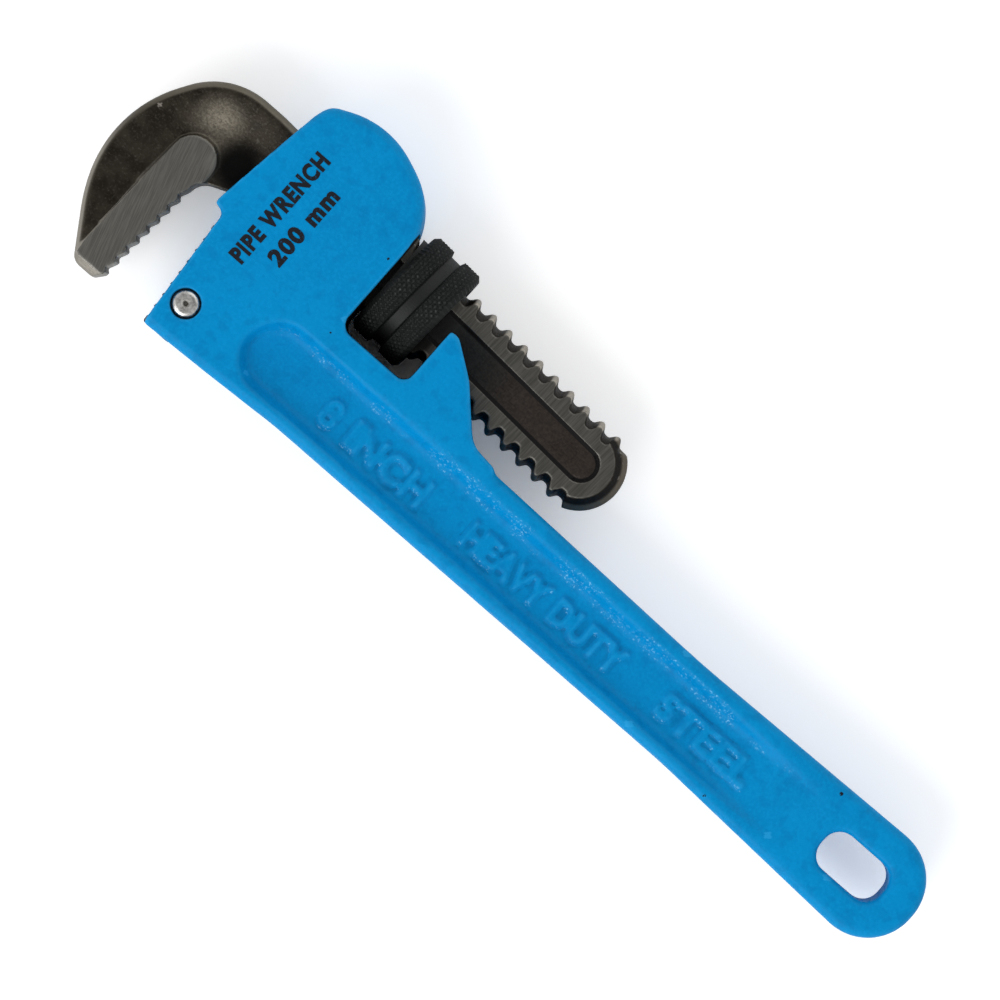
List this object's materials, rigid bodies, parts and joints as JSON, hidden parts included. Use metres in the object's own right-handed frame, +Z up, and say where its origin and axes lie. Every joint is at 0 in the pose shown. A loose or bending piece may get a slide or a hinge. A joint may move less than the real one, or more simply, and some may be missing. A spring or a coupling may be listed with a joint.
{
  "type": "pipe wrench",
  "caption": "Adjustable pipe wrench with a cast I-beam handle, a sliding toothed hook jaw, a pinned heel jaw and a knurled adjusting nut.",
  "frame": {"origin": "middle of the wrench's footprint, on the flat underside of the housing that it rests on", "axes": "+X along the handle from the hook jaw to the hang slot, +Y towards the back of the housing, +Z up from the face it lies on"},
  "size_m": [0.1958, 0.0532, 0.0226],
  "materials": {
    "blue_paint": "semi-gloss paint over cast iron",
    "jaw_steel": "ground and hardened",
    "forged_steel": "forged, blackened, with ground flats",
    "nut_black": "black oxide, knurled",
    "bright_pin": "bright",
    "spring_steel": "oiled"
  },
  "bodies": {
    "handle": {"handle": "blue_paint", "heel_jaw": "jaw_steel", "heel_jaw_pin": "bright_pin", "flat_spring_rivet": "bright_pin"},
    "springs": {"flat_spring": "spring_steel", "coil_spring": "spring_steel"},
    "nut": {"adjusting_nut": "nut_black"},
    "hook_jaw": {"hook_jaw": "forged_steel"}
  },
  "joints": [
    {"name": "jaw_rock", "type": "hinge", "parent": "handle", "child": "springs", "pos_m": [-0.03842, 0.00772, 0.0113], "axis": [0, 0, 1], "range_deg": [0, 3.3], "stiffness_Nm_per_rad": 1, "springref_deg": -5.73},
    {"name": "nut_spin", "type": "hinge", "parent": "springs", "child": "nut", "pos_m": [-0.03842, 0.00772, 0.0113], "axis": [0.9983, -0.0583, 0], "range_deg": [-567, 3209]},
    {"name": "jaw_slide", "type": "slide", "parent": "springs", "child": "hook_jaw", "axis": [-0.9983, 0.0583, 0], "range_m": [-0.006, 0.034]}
  ],
  "couplings": [
    {"joint": "nut_spin", "follows": "jaw_slide", "rad_per_m": 1646.7}
  ]
}
